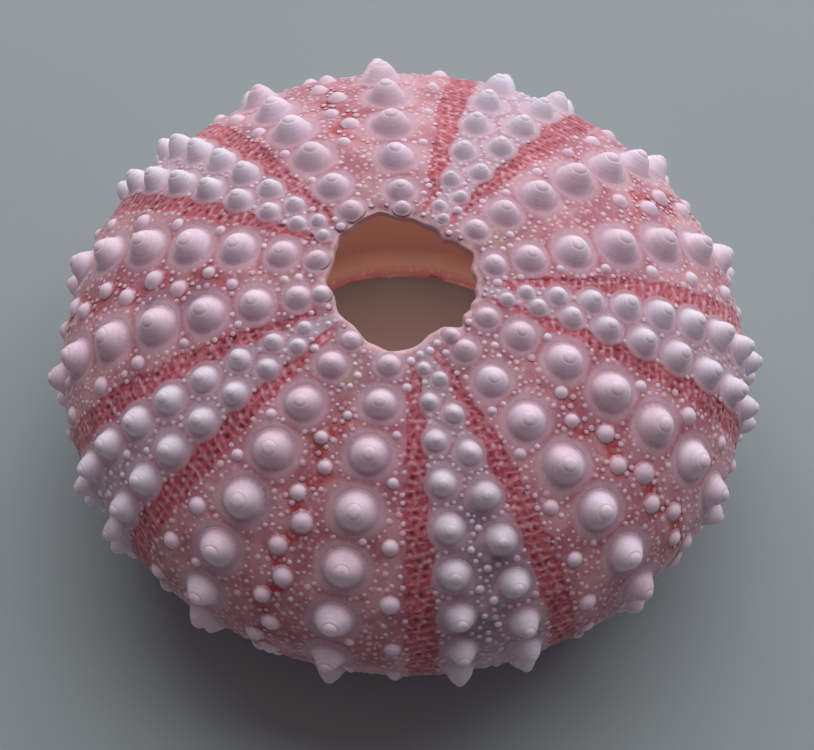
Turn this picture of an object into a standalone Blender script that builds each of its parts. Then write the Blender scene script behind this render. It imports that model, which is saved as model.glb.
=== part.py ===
"""Rock-boring urchin shell: the dry, hollow test of the urchin, with its bosses fused to the wall.

The test is an oval dome on a flattened base. Ten areas run down it from the hole at the top to the
mouth below: five wide ones and five narrow ones, each with two columns of bosses. A place on the
test is given by an angle around it and by the way along the wall from the apex, the arc.
"""

import math

import bmesh
import bpy
import numpy as np
from mathutils import Matrix, Vector

MM = 0.001

# The wall
HALF_LENGTH = 31.0 * MM
HALF_WIDTH = 29.0 * MM
MEAN_RADIUS = (HALF_LENGTH + HALF_WIDTH) / 2
UPPER_HEIGHT = 15.44 * MM
FULLNESS = 2.04
LOWER_CURVE = (
    (31.0 * MM, 0.0), (31.0 * MM, -9.0 * MM), (22.0 * MM, -15.6 * MM), (15.5 * MM, -11.6 * MM),
)
WALL = 1.5 * MM
PROFILE_TOP = math.radians(8)
RINGS_ABOVE = 7
RINGS_BELOW = 6
SIDES = 30

# Where the middle of the oval lies, so that the whole part is centred over its base and its lowest
# bosses are trimmed to small flats
CENTRE = Vector((0.08 * MM, 0.12 * MM, 13.4 * MM))

# The scalloped edge of the hole: angle in degrees and distance from the middle in millimetres
HOLE_EDGE = (
    (10, 6.1), (22, 5.9), (33, 6.7), (43, 6.0), (56, 5.0), (65, 5.6), (77, 5.9),
    (91, 6.1), (102, 6.4), (113, 7.4), (123, 7.3), (135, 7.0), (149, 7.1), (162, 6.3),
    (184, 6.6), (198, 5.7), (213, 6.1), (228, 5.6), (247, 6.2), (261, 6.3), (273, 6.3),
    (289, 5.8), (299, 5.1), (313, 5.2), (325, 6.3), (336, 5.8), (349, 6.1), (359, 6.2),
)

# The areas, each with the angle of its middle, its width against the others, and for its two columns
# the arc of the first boss in millimetres and the pace at which its bosses follow each other
WIDE_AREAS = (
    (252.6, 1.03, (6.8, 7.9), (1.04, 1.05)),
    (326.5, 0.96, (5.9, 7.4), (1.03, 1.02)),
    (34.3, 0.98, (7.7, 8.1), (0.97, 0.93)),
    (112.0, 1.07, (6.8, 8.4), (1.02, 0.96)),
    (181.5, 0.96, (7.5, 6.4), (0.97, 0.98)),
)
NARROW_AREAS = (
    (290.0, 1.03, (8.2, 9.4), (1.04, 1.05)),
    (359.3, 0.92, (8.5, 10.0), (0.91, 0.87)),
    (71.7, 1.08, (7.2, 8.4), (1.12, 1.14)),
    (147.4, 0.96, (9.5, 8.2), (0.93, 0.93)),
    (216.9, 0.99, (9.1, 10.4), (0.95, 0.99)),
)
WIDE_STEP = (4.78 * MM, 4.42 * MM, 3.88 * MM)
NARROW_STEP = (3.9 * MM, 1.4 * MM, 6.13 * MM)
CROWDING = (27.0 * MM, 33.0 * MM, 0.5, 1.4)
LAST_ARC = 58.4 * MM

# Angle between an area's middle and its columns: in a wide area it falls with the arc from the first
# value by the second, in a narrow one it grows to the first, and the last value is how fast
WIDE_SPREAD = (16.37, 6.24, 15.66 * MM)
NARROW_SPREAD = (5.3, 9.29 * MM)

# The radius of a boss at some arcs, both in millimetres
WIDE_RADII = (
    (5.0, 0.85), (7.0, 1.0), (10.0, 1.4), (14.0, 1.8), (19.0, 2.1), (30.0, 2.1), (38.0, 1.85),
    (48.0, 1.45), (60.0, 1.05),
)
NARROW_RADII = (
    (7.0, 0.55), (9.0, 0.7), (12.0, 0.9), (15.0, 1.12), (19.0, 1.38), (24.0, 1.56), (34.0, 1.6),
    (44.0, 1.28), (60.0, 0.9),
)
SMALLEST_BOSS = 0.85 * MM

# The form of a boss, as shares of its radius
BOSS_FOOT = 0.98
BOSS_SHOULDER = 0.5
SHOULDER_RISE = 0.57
BOSS_RISE = 0.83
BOSS_ROOT = 0.45 * MM
BOSS_SIDES = 5
BIG_BOSS_SIDES = 6
BIG_BOSS = 1.6 * MM

COLOUR = (0.62, 0.31, 0.34, 1.0)
ROUGHNESS = 0.6


def upper_point(angle):
    """Radius and height of the upper wall at an angle from the apex."""
    power = 2 / FULLNESS
    return HALF_LENGTH * math.sin(angle) ** power, UPPER_HEIGHT * max(math.cos(angle), 0.0) ** power


def lower_point(share):
    """Radius and height of the lower wall, from the widest place to the edge of the mouth."""
    weights = ((1 - share) ** 3, 3 * share * (1 - share) ** 2, 3 * share ** 2 * (1 - share), share ** 3)
    radius = sum(weight * point[0] for weight, point in zip(weights, LOWER_CURVE))
    height = sum(weight * point[1] for weight, point in zip(weights, LOWER_CURVE))
    return radius, height


def trace_meridian(steps=400):
    """Arc, radius and height along the wall from the apex to the mouth, as three arrays."""
    upper = [upper_point(math.pi / 2 * i / steps) for i in range(steps + 1)]
    lower = [lower_point(i / steps) for i in range(1, steps + 1)]
    radius, height = np.array(upper + lower).T
    widths = np.diff(radius) * MEAN_RADIUS / HALF_LENGTH
    arc = np.concatenate([[0.0], np.cumsum(np.hypot(widths, np.diff(height)))])
    return arc, radius, height


ARC, RADIUS, HEIGHT = trace_meridian()


def wall_point(angle, arc):
    """A place on the outside of the wall, from an angle in degrees and an arc."""
    radius = np.interp(arc, ARC, RADIUS)
    turn = math.radians(angle)
    narrowing = HALF_WIDTH / HALF_LENGTH
    height = float(np.interp(arc, ARC, HEIGHT))
    return CENTRE + Vector((radius * math.cos(turn), radius * narrowing * math.sin(turn), height))


def wall_normal(angle, arc, reach=0.3 * MM):
    """The outward direction at a place on the wall."""
    across = wall_point(angle + 0.5, arc) - wall_point(angle - 0.5, arc)
    along = wall_point(angle, arc + reach) - wall_point(angle, arc - reach)
    return along.cross(across).normalized()


def next_step(arc, law):
    """Distance from one boss of a column to the next."""
    most, start, reach = law
    crowd_start, crowd_reach, crowd_share, crowd_power = CROWDING
    crowd = min(max((arc - crowd_start) / crowd_reach, 0.0), 1.0) ** crowd_power
    return most * (1 - math.exp(-(arc - start) / reach)) * (1 - crowd_share * crowd)


def column_arcs(first, pace, law, parts=4):
    """The arcs of the bosses of one column, from the hole to the mouth."""
    arcs = []
    arc = first
    while arc < LAST_ARC:
        arcs.append(arc)
        for _ in range(parts):
            arc += next_step(arc, law) * pace / parts
    return arcs


def wide_half_turn(arc):
    """Angle between a wide area's middle and its columns."""
    most, fall, reach = WIDE_SPREAD
    return most - fall * (1 - math.exp(-arc / reach))


def narrow_half_turn(arc):
    """Angle between a narrow area's middle and its columns."""
    most, reach = NARROW_SPREAD
    return most * (1 - math.exp(-arc / reach))


def boss_places():
    """Angle, arc and radius of every boss."""
    kinds = (
        (WIDE_AREAS, WIDE_STEP, wide_half_turn, WIDE_RADII),
        (NARROW_AREAS, NARROW_STEP, narrow_half_turn, NARROW_RADII),
    )
    for areas, law, half_turn, radii in kinds:
        radius_arcs, radius_values = np.array(radii).T * MM
        for middle, width, firsts, paces in areas:
            for side, first, pace in zip((-1, 1), firsts, paces):
                for arc in column_arcs(first * MM, pace, law):
                    radius = float(np.interp(arc, radius_arcs, radius_values))
                    yield middle + side * width * half_turn(arc), arc, radius


def new_object(name, mesh, collection):
    """An object for a mesh, in a collection."""
    part = bpy.data.objects.new(name, mesh)
    collection.objects.link(part)
    return part


def make_cutter(name, body, collection):
    """A hidden guide object from a finished bmesh."""
    mesh = bpy.data.meshes.new(name)
    body.to_mesh(mesh)
    body.free()
    cutter = new_object(name, mesh, collection)
    cutter.hide_render = True
    cutter.display_type = "WIRE"
    return cutter


def add_boss(body, place, normal, radius):
    """One boss: a frustum rooted in the wall, its top raised to a point."""
    shoulder = radius * SHOULDER_RISE
    turn = normal.to_track_quat("Z", "Y").to_matrix().to_4x4()
    middle = Matrix.Translation(place + normal * (shoulder - BOSS_ROOT) / 2) @ turn
    cone = bmesh.ops.create_cone(
        body, cap_ends=True, segments=BIG_BOSS_SIDES if radius > BIG_BOSS else BOSS_SIDES,
        radius1=radius * BOSS_FOOT, radius2=radius * BOSS_SHOULDER, depth=shoulder + BOSS_ROOT, matrix=middle,
    )
    faces = {face for vertex in cone["verts"] for face in vertex.link_faces}
    cap = max(faces, key=lambda face: face.calc_center_median().dot(normal))
    peak = bmesh.ops.poke(body, faces=[cap])["verts"][0]
    peak.co = place + normal * radius * BOSS_RISE


def make_bosses(collection):
    """All the bosses, joined in one hidden object."""
    body = bmesh.new()
    for angle, arc, radius in boss_places():
        if radius >= SMALLEST_BOSS:
            add_boss(body, wall_point(angle, arc), wall_normal(angle, arc), radius)
    return make_cutter("boss_shapes", body, collection)


def make_hole_shape(collection, depth=8.0 * MM):
    """The scalloped plug that opens the top."""
    body = bmesh.new()
    plug = bmesh.ops.create_cone(
        body, cap_ends=True, segments=len(HOLE_EDGE), radius1=1.0 * MM, radius2=1.0 * MM, depth=depth,
        matrix=Matrix.Translation(CENTRE + Vector((0, 0, UPPER_HEIGHT))),
    )
    for level in (-1, 1):
        ring = [vertex for vertex in plug["verts"] if (vertex.co.z - CENTRE.z - UPPER_HEIGHT) * level > 0]
        ring.sort(key=lambda vertex: math.atan2(vertex.co.y - CENTRE.y, vertex.co.x - CENTRE.x) % math.tau)
        for vertex, (angle, distance) in zip(ring, HOLE_EDGE):
            turn = math.radians(angle)
            vertex.co.x = CENTRE.x + distance * MM * math.cos(turn)
            vertex.co.y = CENTRE.y + distance * MM * math.sin(turn)
    return make_cutter("hole_shape", body, collection)


def make_ground_shape(collection, width=90.0 * MM, depth=10.0 * MM):
    """The block under the part, whose top trims the lowest bosses to small flats."""
    body = bmesh.new()
    bmesh.ops.create_cube(body, size=1.0)
    bmesh.ops.scale(body, vec=(width, width, depth), verts=body.verts)
    bmesh.ops.translate(body, vec=(0, 0, -depth / 2), verts=body.verts)
    return make_cutter("ground_shape", body, collection)


def make_wall(collection):
    """The hollow wall: a meridian turned about the upright axis, made oval and given its thickness."""
    above = [upper_point(angle) for angle in np.linspace(PROFILE_TOP, math.pi / 2, RINGS_ABOVE + 1)]
    below = [lower_point(share) for share in np.linspace(0, 1, RINGS_BELOW + 1)[1:]]
    body = bmesh.new()
    corners = [body.verts.new((radius, 0, height)) for radius, height in above + below]
    for start, end in zip(corners, corners[1:]):
        body.edges.new((start, end))
    mesh = bpy.data.meshes.new("shell")
    body.to_mesh(mesh)
    body.free()
    wall = new_object("shell", mesh, collection)
    turned = wall.modifiers.new("turned", "SCREW")
    turned.steps = SIDES
    turned.render_steps = SIDES
    turned.use_merge_vertices = True
    turned.merge_threshold = 0.0001
    apply_modifiers(wall)
    wall.data.transform(Matrix.Diagonal((1, HALF_WIDTH / HALF_LENGTH, 1, 1)))
    wall.data.transform(Matrix.Translation(CENTRE))
    thick = wall.modifiers.new("thickness", "SOLIDIFY")
    thick.thickness = WALL
    thick.offset = -1
    return wall


def apply_modifiers(part):
    """Turn an object's modifiers into its mesh."""
    bpy.context.view_layer.update()
    evaluated = part.evaluated_get(bpy.context.evaluated_depsgraph_get())
    mesh = bpy.data.meshes.new_from_object(evaluated)
    part.modifiers.clear()
    part.data = mesh
    mesh.name = part.name


def add_boolean(part, name, operation, cutter):
    """Join a shape to a part, or cut it away."""
    boolean = part.modifiers.new(name, "BOOLEAN")
    boolean.operation = operation
    boolean.solver = "EXACT"
    boolean.object = cutter


def make_material():
    """The rosy chalk of the test."""
    material = bpy.data.materials.new("rosy_chalk")
    material.use_nodes = True
    shader = material.node_tree.nodes["Principled BSDF"]
    shader.inputs["Base Color"].default_value = COLOUR
    shader.inputs["Roughness"].default_value = ROUGHNESS
    shader.inputs["Metallic"].default_value = 0.0
    return material


def main():
    """Build the shell."""
    for old in list(bpy.data.objects):
        bpy.data.objects.remove(old)
    parts = bpy.data.collections.new("urchin_shell")
    cutters = bpy.data.collections.new("cutters")
    bpy.context.scene.collection.children.link(parts)
    bpy.context.scene.collection.children.link(cutters)
    shell = make_wall(parts)
    add_boolean(shell, "bosses", "UNION", make_bosses(cutters))
    add_boolean(shell, "hole", "DIFFERENCE", make_hole_shape(cutters))
    add_boolean(shell, "flats", "DIFFERENCE", make_ground_shape(cutters))
    shell.data.materials.append(make_material())


main()
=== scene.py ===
"""Rock-boring urchin shell: the wall, the pore bands, the tubercles and the granules.

A place on the shell is an angle in degrees round its oval and an arc, the way in metres along the
outside of the wall from the apex. Every piece is laid out in these two, so that what grows on the
wall follows it.
"""

import math

import bpy
import numpy as np
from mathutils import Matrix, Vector


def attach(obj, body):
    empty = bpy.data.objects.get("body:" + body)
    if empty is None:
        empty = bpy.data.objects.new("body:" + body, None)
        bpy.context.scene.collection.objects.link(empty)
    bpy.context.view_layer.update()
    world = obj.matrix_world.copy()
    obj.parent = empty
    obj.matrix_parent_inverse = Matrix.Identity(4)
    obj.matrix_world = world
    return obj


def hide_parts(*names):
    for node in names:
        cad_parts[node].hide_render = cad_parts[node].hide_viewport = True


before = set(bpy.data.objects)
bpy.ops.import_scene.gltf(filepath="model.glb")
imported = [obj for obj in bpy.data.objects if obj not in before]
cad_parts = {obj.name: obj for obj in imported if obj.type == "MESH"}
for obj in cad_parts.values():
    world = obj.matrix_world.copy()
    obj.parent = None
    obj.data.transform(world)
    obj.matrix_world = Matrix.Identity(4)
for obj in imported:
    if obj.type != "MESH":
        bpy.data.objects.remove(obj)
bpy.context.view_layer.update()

bl_info = {
    "name": "Urchin shell",
    "version": (1, 0, 0),
    "blender": (4, 5, 0),
    "location": "3D View > Sidebar > Urchin",
    "description": "Builds a rock-boring urchin shell around its solid",
    "category": "Add Mesh",
}

MM = 0.001
BODY = "root"
NODE = "shell"

# What the random draws of each group start from
SMALL_PLACE_SEED = 11
GRAIN_PLACE_SEED = 5
TUBERCLE_SEED = 21
SMALL_SEED = 33
COMB_SEED = 100

# What the operators share, made once
SHARED = {}

# The oval of the wall: its upper half is a fuller ellipse, its lower one a curve by four points
# in millimetres
HALF_LENGTH = 31.0 * MM
HALF_WIDTH = 29.0 * MM
NARROWING = HALF_WIDTH / HALF_LENGTH
UPPER_HEIGHT = 15.44 * MM
FULLNESS = 2.04
LOWER_CURVE = ((31.0, 0.0), (31.0, -9.0), (22.0, -15.6), (15.5, -11.6))
CENTRE = np.array((0.08, 0.12, 13.4)) * MM
HALF_DEGREE = 0.5
NORMAL_REACH = 0.3 * MM

# The scalloped edge of the hole: angle in degrees and distance from the middle in millimetres,
# and over how many degrees it is rounded
HOLE_EDGE = (
    (10, 6.1), (22, 5.9), (33, 6.7), (43, 6.0), (56, 5.0), (65, 5.6), (77, 5.9),
    (91, 6.1), (102, 6.4), (113, 7.4), (123, 7.3), (135, 7.0), (149, 7.1), (162, 6.3),
    (184, 6.6), (198, 5.7), (213, 6.1), (228, 5.6), (247, 6.2), (261, 6.3), (273, 6.3),
    (289, 5.8), (299, 5.1), (313, 5.2), (325, 6.3), (336, 5.8), (349, 6.1), (359, 6.2),
)
EDGE_SPAN = 8
EDGE_SOFTNESS = 2.8

# The areas: angle of the middle, width against the others, arc of the first boss of the two
# columns in millimetres, and the pace at which their bosses follow each other. Then the laws of
# their steps, crowding and spread, and tables of an arc and a radius in millimetres
WIDE_AREAS = (
    (252.6, 1.03, (6.8, 7.9), (1.04, 1.05)),
    (326.5, 0.96, (5.9, 7.4), (1.03, 1.02)),
    (34.3, 0.98, (7.7, 8.1), (0.97, 0.93)),
    (112.0, 1.07, (6.8, 8.4), (1.02, 0.96)),
    (181.5, 0.96, (7.5, 6.4), (0.97, 0.98)),
)
NARROW_AREAS = (
    (290.0, 1.03, (8.2, 9.4), (1.04, 1.05)),
    (359.3, 0.92, (8.5, 10.0), (0.91, 0.87)),
    (71.7, 1.08, (7.2, 8.4), (1.12, 1.14)),
    (147.4, 0.96, (9.5, 8.2), (0.93, 0.93)),
    (216.9, 0.99, (9.1, 10.4), (0.95, 0.99)),
)
AREA_TURN = 36
WIDE_STEP = (4.78 * MM, 4.42 * MM, 3.88 * MM)
NARROW_STEP = (3.9 * MM, 1.4 * MM, 6.13 * MM)
CROWDING = (27.0 * MM, 33.0 * MM, 0.5, 1.4)
LAST_ARC = 58.4 * MM
WIDE_SPREAD = (16.37, 6.24, 15.66 * MM)
NARROW_SPREAD = (5.3, 9.29 * MM)
WIDE_RADII = (
    (5.0, 0.85), (7.0, 1.0), (10.0, 1.4), (14.0, 1.8), (19.0, 2.1), (30.0, 2.1), (38.0, 1.85),
    (48.0, 1.45), (60.0, 1.05),
)
NARROW_RADII = (
    (7.0, 0.55), (9.0, 0.7), (12.0, 0.9), (15.0, 1.12), (19.0, 1.38), (24.0, 1.56), (34.0, 1.6),
    (44.0, 1.28), (60.0, 0.9),
)

# A boss keeps off the hole by a share of its radius and a gap, and shrinks if it has to be pushed
HOLE_CLEARANCE = (0.95, 0.1 * MM)
PUSHED_SHRINKING = (0.2, 1.2 * MM)
WIDE_SLIMMING = (0.05, 9 * MM, 18 * MM)

# The pore bands: arc in millimetres, and the angles of the inner and outer edge from the middle
# of the narrow area
BAND_EDGES = (
    (6, 3.6, 9.0), (8, 4.8, 10.6), (10, 5.7, 12.0), (15, 7.3, 13.9), (20, 8.1, 14.5),
    (27, 8.6, 14.1), (36, 8.8, 13.6), (48, 8.9, 13.4), (60, 8.4, 15.0),
)

# The pairs of pores: their step, how far they go on past the first and the last boss, and where
# across the band a row of them starts and how far it swings from boss to boss
PAIR_STEP = 0.74 * MM
PAIRS_BEYOND = (1.6 * MM, 1.0 * MM)
PAIR_SWING = (0.3, 0.4)

# The smaller tubercles: the arcs where the zigzags of the wide areas start, tables of an arc and a
# radius, all in millimetres, and then the steps, shifts, sizes and gaps
MEDIAN_STARTS = (13.0, 15.9, 22.0, 16.5, 14.2)
MEDIAN_RADII = ((13, 0.42), (17, 0.62), (22, 0.82), (36, 0.85), (58, 0.5))
SIDE_RADII = ((13, 0.38), (20, 0.5), (26, 0.78), (40, 0.75), (58, 0.45))
SIZE_SPREAD = (0.85, 1.1)
MEDIAN_ZIGZAG = 0.62 * MM
MEDIAN_STEP = (2.2 * MM, 2.8 * MM)
MEDIAN_CROWDING = (0.35, 30 * MM, 50 * MM)
SIDE_START = 12 * MM
SIDE_GAP = 0.35 * MM
SIDE_SHIFT = 0.4 * MM
INNER_PLACE = 0.25
INNER_SHIFT = 0.3 * MM
INNER_SIZES = (0.5, 0.75)
NARROW_REACH = (13 * MM, 50 * MM)
NARROW_ZIGZAG = 0.5 * MM
NARROW_SIZES = (0.26 * MM, 0.42 * MM)
NARROW_PACE = (1.1 * MM, 1.9 * MM)
CROWN_TRIES = 220
CROWN_DISTANCES = (0.5 * MM, 4.5 * MM)
CROWN_SIZES = (0.2 * MM, 0.42 * MM)
SMALL_GAP = 0.15 * MM
SMALL_CLEARANCE = 1.02

# The granules: rings round the bosses, lines along the bands, and loose ones
RING_SHARES = (1.3, 1.22)
RING_GAP = 0.2 * MM
RING_STEP = 0.75 * MM
RING_UNEVENNESS = 0.2
LINE_CHANCE = 0.9
LINE_OUTSETS = (-0.05 * MM, 0.12 * MM)
LINE_SHIFT = 0.2 * MM
LOOSE_TRIES = 30000
LOOSE_ARCS = (6.2 * MM, 59.0 * MM)
GRAIN_SIZES = (0.13 * MM, 0.23 * MM)
LARGER_GRAINS = (0.4, 0.9)
GRAIN_BAND_LIMIT = 0.8
GRAIN_ENDS = (0.55 * MM, 0.5 * MM)
GRAIN_CLEARANCES = (1.2, 1.12)
GRAIN_GAPS = (0.04 * MM, 0.14 * MM)

# Where the shell is stained green, and where it is grey: angle, arc in millimetres and reach in
# millimetres. The grey marks are partly grey stains and partly painted shade on the lower front
GREEN_MARKS = (
    (320.0, 11.8, 1.3), (327.5, 9.4, 1.6), (28.0, 11.6, 1.3), (36.0, 9.2, 1.4), (252.0, 9.6, 1.6),
    (118.0, 10.5, 1.2), (284.0, 7.6, 1.0), (186.0, 9.0, 1.0),
)
GREY_STAIN_AND_SHADE_MARKS = (
    (244.5, 22.6, 1.6), (187.0, 17.5, 2.0), (186.0, 21.5, 1.4), (291.0, 21.5, 2.4), (292.0, 25.5, 3.8),
    (288.0, 31.0, 4.0),
)
MARK_SOFTNESS = 0.8

# Soft unevenness: the height, the seed and the length of each wave
WAVE_LENGTHS = (0.7, 1.5)
WALL_WAVES = ((0.06 * MM, 3, 7 * MM), (0.025 * MM, 4, 2.4 * MM))
BAND_EDGE_WAVES = ((0.16 * MM, 14, 0.8 * MM), (0.16 * MM, 23, 2.1 * MM))
RIM_WAVES = ((0.2 * MM, 17, 1.2 * MM),)
JAG_WAVES = ((0.12 * MM, 8, 1.6 * MM),)
INSIDE_WAVES = ((0.1 * MM, 9, 5 * MM),)
SIDEWAYS_WAVES = ((0.13 * MM, 22, 1.3 * MM),)
ALONG_WAVES = ((0.12 * MM, 21, 1.1 * MM),)
COMB_WAVES = ((0.02 * MM, 24, 0.5 * MM),)

# The relief of the wall: its depths and heights, and the ranges over which they set in
FOOT_SINK = 0.06 * MM
RING_RISE = 0.025 * MM
SEAM_DEPTH = 0.03 * MM
MEDIAN_DEPTH = 0.06 * MM
MEDIAN_SWING = 0.95 * MM
MEDIAN_WIDTH = 0.95 * MM
MEDIAN_ONSET = 3 * MM
MEDIAN_REACH = 12
BED_DEPTH = 0.3 * MM
BED_EDGE = (0.1 * MM, 0.45 * MM)
BED_ONSET = (1.5 * MM, 2.2 * MM)
BAND_FADE = (-0.2 * MM, 0.4 * MM)
BAND_ONSET = (0.6 * MM, 2.4 * MM)
BLEED_ONSET = (0.4 * MM, 2.2 * MM)
BLEED_SOFTNESS = 2.2
RIM_BREADTH = (0.1 * MM, 0.6 * MM)
CROWN_ARCS = (7 * MM, 14 * MM)

# Round a boss, in shares of its radius: ranges, and the width and middle of a line
UNDER_FOOT = (0.8, 0.92)
WHITE_EDGE = (0.64, 0.97)
AREOLE = (1.0, 1.45)
# The seam between bosses: a red suture, widened and darkened as painted shade between the bosses
SEAM_START = (1.02, 1.2)
SEAM_END = (1.45, 1.9)
SEAM_WIDTH = 0.27
CLEAR_OF_WIDE = (1.22, 1.5)
CLEAR_OF_NARROW = (1.08, 1.36)
# A rose ring at the foot of each boss: partly the pink of the chalk, partly painted shade under the boss
FOOT_TINT_AND_SHADE_LINE = (0.16, 0.9)
RAISED_RING = (0.16, 1.38)
SMALL_RING = (0.5, 0.9)
# How much less of that painted foot shade the narrow bosses get
NARROW_FOOT_TINT_AND_SHADE_CUT = 0.7

# The wall's mesh: the circle that it is spun from, the arcs of its first row and of the turn to
# the underside, and how its two edges are rounded and coloured
CIRCLE_MIDDLE = 22 * MM
CIRCLE_RADIUS = 8 * MM
MERGE_DISTANCE = 0.001 * MM
TOP_ARC = 6.6 * MM
TOP_FADE = 5 * MM
TURN_ARC = 40 * MM
RIM_ROWS = 6
LIP_ROWS = 5
RIM_ROUNDING = (0.25 * MM, 0.9 * MM)
RIM_BULGE = -0.18 * MM
LIP_BULGE = 0.4 * MM
RIM_THICKNESS = 0.45
RIM_THINNING = 0.1
RIM_INSIDE = (0.0, 0.6)
LIP_INSIDE = (0.9, 0.2)

# The tubercles: how they blend from a dome to a bell, lean, widen and stretch, and their colour
SHOWN_ARC = 41 * MM
SHOWN_SIDES = 18
LOWER_SIDES = 12
HOLE_MARGIN = 0.12 * MM
BELL_ARCS = (18 * MM, 32 * MM)
BELL_SHARES = (0.6, 1.0)
NARROW_BELLS = 0.6
LEAN = 0.035
OVALNESS = 0.025
STRETCHES = (0.95, 1.04)
NARROW_STRETCH = 0.14
BLUSHES = (0.0, 0.55)
NARROW_BLUSH = 0.8
# The same rose ring on the tubercles' skirts, partly pigment and partly painted shade
TUBERCLE_FOOT_TINT_AND_SHADE = (0.14, 0.85)
KNOB_EDGE = (0.3, 0.44)
# Share of the grey stain and painted shade that reaches the tubercles
TUBERCLE_STAIN_AND_SHADE = 0.5

# The small tubercles and granules: how many sides they have, and the ranges of their whiteness
# and of their pinkness
SMALL_SIDES = 10
SMALL_WHITENESS = (0.85, 1.0)
SMALL_PINKNESS = (0.0, 0.4)
GRAIN_SIDES = 6
GRAIN_WHITENESS = (0.4, 0.9)
GRAIN_PINKNESS = (0.1, 0.8)
SMALL_STRETCHES = (0.85, 1.15)
SMALL_WHITE_EDGE = (-0.02, 0.2)

# The strips that carry the pore bands: how far they reach past the band and stop before the hole
# and the mouth, their thickness, and where their rows get longer
STRIP_PAD = 0.55 * MM
STRIP_START = 1.2 * MM
STRIP_END = 0.9 * MM
STRIP_THICKNESS = 0.6 * MM
STRIP_MIDDLE = 10.0
STRIP_TURN = 41 * MM
LOWER_STRIP_STEP = 0.27 * MM

# The comb of a band: pairs of pores in grooves, the low wall between the two and the ridges
# between the pairs, and how the strip dives into the wall at its edges and ends
PAIR_SLANT = 0.2
SIDE_PULL = 0.12
PORE_SIZES = (0.09 * MM, 0.17 * MM)
PORE_GAPS = (0.32 * MM, 0.5 * MM)
PORE_STRENGTHS = (0.2, 1.0)
PORE_DEPTH = 0.15 * MM
PORE_MARGIN = 0.01 * MM
# Painted shade in the pores, which stand for holes through the wall: its least share and the share added
# with depth
PORE_SHADE_STRENGTHS = (0.25, 0.75)
RIDGE_EDGE = (0.22 * MM, 0.35 * MM)
RIDGE_PATCHES = (0.6, 0.4, 15, 0.9 * MM)
RIDGE_RISE = 0.05 * MM
RIDGE_PUSH = 0.1 * MM
TONE_PATCHES = (0.5, 0.5, 16, 1.7 * MM)
DIVIDE_WIDTH = 0.1 * MM
DIVIDE_RISE = 0.025 * MM
DIVIDE_TINT = 0.6
COMB_LEVEL = -0.08 * MM
PAD_LEVEL = -0.02 * MM
PAD_RISE = 0.035 * MM
PAD_EDGE = (-0.32 * MM, -0.08 * MM)
DIVE = 0.3 * MM
PAD_DIVE = (-0.5 * MM, -0.3 * MM)
HOLE_DIVE = (1.25 * MM, 1.55 * MM)
MOUTH_DIVE = (-2.4 * MM, -1.5 * MM)

# Tubercles as (share of the radius, height as a share of the radius), from the foot to the tip
DOME_FORM = (
    (1.09, -0.05), (0.98, -0.003), (0.91, 0.012), (0.85, 0.042), (0.795, 0.095), (0.75, 0.17),
    (0.70, 0.27), (0.645, 0.375), (0.575, 0.48), (0.495, 0.575), (0.42, 0.645), (0.37, 0.682),
    (0.352, 0.684), (0.325, 0.71), (0.27, 0.77), (0.185, 0.815), (0.095, 0.833),
)
BELL_FORM = (
    (1.09, -0.05), (0.98, -0.003), (0.905, 0.018), (0.84, 0.055), (0.775, 0.115), (0.71, 0.19),
    (0.65, 0.275), (0.59, 0.37), (0.525, 0.47), (0.455, 0.555), (0.39, 0.62), (0.352, 0.65),
    (0.332, 0.647), (0.305, 0.685), (0.255, 0.755), (0.17, 0.81), (0.085, 0.833),
)
SMALL_FORM = ((1.35, -0.06), (1.12, 0.015), (0.94, 0.13), (0.76, 0.33), (0.5, 0.5), (0.26, 0.6))
GRAIN_FORM = ((1.5, -0.07), (0.95, 0.13), (0.52, 0.32))

# Colours as screen values of 0 to 255. A coat is how strongly it covers and its colour
PINK = (206, 152, 166)
ROSE = (174, 102, 120)
MEDIAN_REDS = ((176, 36, 42), (192, 86, 92))
BAND_REDS = ((146, 34, 64), (190, 70, 90))
WIDE_WHITE = (240, 224, 246)
NARROW_WHITE = (234, 228, 246)
BLUSH = (228, 194, 208)
INSIDE_CREAM = (206, 182, 179)
# The painted shade inside the pores
PORE_SHADE = (66, 20, 36)
FLOOR_GREY = (158, 172, 178)
AIR_PINK = (240, 216, 214)
FIRST_COATS = (("crown", 0.75, (166, 126, 138)), ("narrow", 0.85, (190, 170, 190)))
LATER_COATS = (
    ("ringed", 0.5, (190, 142, 160)), ("areole", 0.8, (204, 178, 196)), ("bleed", 0.5, (172, 96, 114)),
    # The foot coat is a rose ring round each boss, partly pigment and partly painted shade under it
    # The seam coat is the red of the sutures, widened and darkened as painted shade between bosses
    ("seam_and_shade", 0.5, (166, 66, 86)), ("foot_tint_and_shade", 0.4, (170, 104, 126)),
)
GREEN_COAT = (0.6, (164, 152, 112))
TONE_COAT = (0.4, (200, 104, 116))
RIDGE_COAT = (0.85, (226, 170, 186))
SPECK_COAT = (0.55, (232, 194, 208))
KNOB_COAT = (0.25, (236, 224, 230))
GROWTH_COAT = (0.12, (150, 112, 134))
DUSK_COAT = (0.2, (150, 108, 128))
GLINT_COAT = (0.16, (240, 226, 236))
# A dark grey-violet coat for the grey stains and the painted shade on the lower front
GREY_STAIN_AND_SHADE_COAT = (0.7, (92, 84, 106))
RIM_COAT = (0.7, (236, 194, 204))
MEDIAN_STRENGTH = 0.88
BAND_STRENGTH = 0.92

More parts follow.
